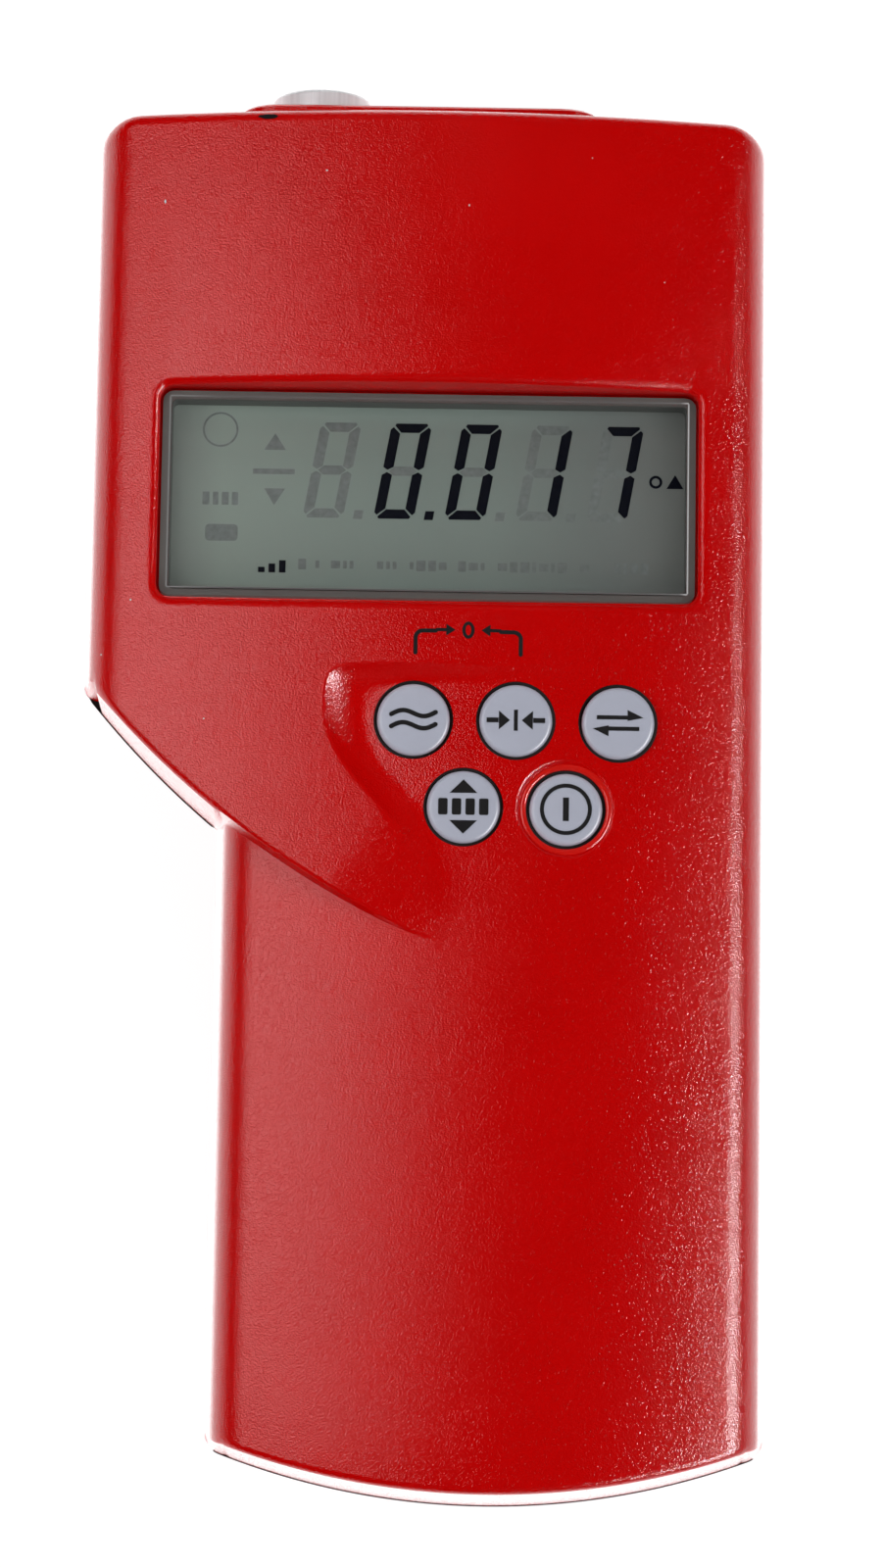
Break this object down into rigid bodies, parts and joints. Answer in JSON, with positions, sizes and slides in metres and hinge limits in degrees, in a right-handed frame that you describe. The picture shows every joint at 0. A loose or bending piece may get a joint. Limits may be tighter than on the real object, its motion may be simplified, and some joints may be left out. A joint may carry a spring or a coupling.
{
  "type": "handheld digital manometer",
  "caption": "Red handheld pressure indicator with a wide head, narrow handle, large numeric display, round travelling keys and a metal pressure port at the top.",
  "frame": {"origin": "on the flat back, in the middle of the head's width, which is the height where the stepped side begins", "axes": "+X to the right seen from the front, +Y along the length to the port end, +Z out of the display"},
  "size_m": [0.089, 0.1821, 0.0336],
  "materials": {
    "case_red": "satin moulded, fine orange-peel texture",
    "black_rubber": "matt",
    "clear_window": "clear, polished",
    "black_bond": "printed black border",
    "lcd_cell": "grey-green reflective display cell",
    "black_plastic": "plain moulded",
    "elastomer_strip": "matt",
    "green_board": "solder mask",
    "chip_epoxy": "matt epoxy",
    "white_plastic": "plain moulded",
    "grey_silicone": "matt",
    "key_grey": "satin, pale blue-grey",
    "nickel_plate": "nickel-plated, turned",
    "zinc_steel": "zinc-plated",
    "sensor_plastic": "plain moulded",
    "clear_silicone": "translucent",
    "battery_can": "printed can without lettering",
    "lead_red": "insulation",
    "lead_black": "insulation",
    "grey_foam": "foam"
  },
  "bodies": {
    "case": {"front_case": "case_red", "rear_case": "case_red", "battery_door": "case_red", "case_gasket": "black_rubber", "port_seal": "black_rubber", "door_seal": "black_rubber", "display_window": "clear_window", "window_seal": "black_bond", "lcd_glass": "lcd_cell", "lcd_frame": "black_plastic", "lcd_connector_upper": "elastomer_strip", "lcd_connector_lower": "elastomer_strip", "circuit_board": "green_board", "main_chip": "chip_epoxy", "battery_header": "white_plastic", "key_mat": "grey_silicone", "pressure_port": "nickel_plate", "port_nut": "zinc_steel", "pressure_sensor": "sensor_plastic", "sensor_tube": "clear_silicone", "battery": "battery_can", "battery_snap": "black_plastic", "battery_lead_red": "lead_red", "battery_lead_black": "lead_black", "battery_pad": "grey_foam", "case_screw_1": "zinc_steel", "board_screw_1": "zinc_steel", "case_screw_2": "zinc_steel", "board_screw_2": "zinc_steel", "case_screw_3": "zinc_steel", "board_screw_3": "zinc_steel", "case_screw_4": "zinc_steel", "board_screw_4": "zinc_steel", "door_screw_1": "zinc_steel", "door_screw_2": "zinc_steel"},
    "key_average_cap": {"key_average": "key_grey"},
    "key_tare_cap": {"key_tare": "key_grey"},
    "key_units_cap": {"key_units": "key_grey"},
    "key_leak_cap": {"key_leak": "key_grey"},
    "key_power_cap": {"key_power": "key_grey"}
  },
  "joints": [
    {"name": "press_average", "type": "slide", "parent": "case", "child": "key_average_cap", "axis": [0, 0, -1], "range_m": [0, 0.001], "stiffness_N_per_m": 400},
    {"name": "press_tare", "type": "slide", "parent": "case", "child": "key_tare_cap", "axis": [0, 0, -1], "range_m": [0, 0.001], "stiffness_N_per_m": 400},
    {"name": "press_units", "type": "slide", "parent": "case", "child": "key_units_cap", "axis": [0, 0, -1], "range_m": [0, 0.001], "stiffness_N_per_m": 400},
    {"name": "press_leak", "type": "slide", "parent": "case", "child": "key_leak_cap", "axis": [0, 0, -1], "range_m": [0, 0.001], "stiffness_N_per_m": 400},
    {"name": "press_power", "type": "slide", "parent": "case", "child": "key_power_cap", "axis": [0, 0, -1], "range_m": [0, 0.001], "stiffness_N_per_m": 400}
  ]
}
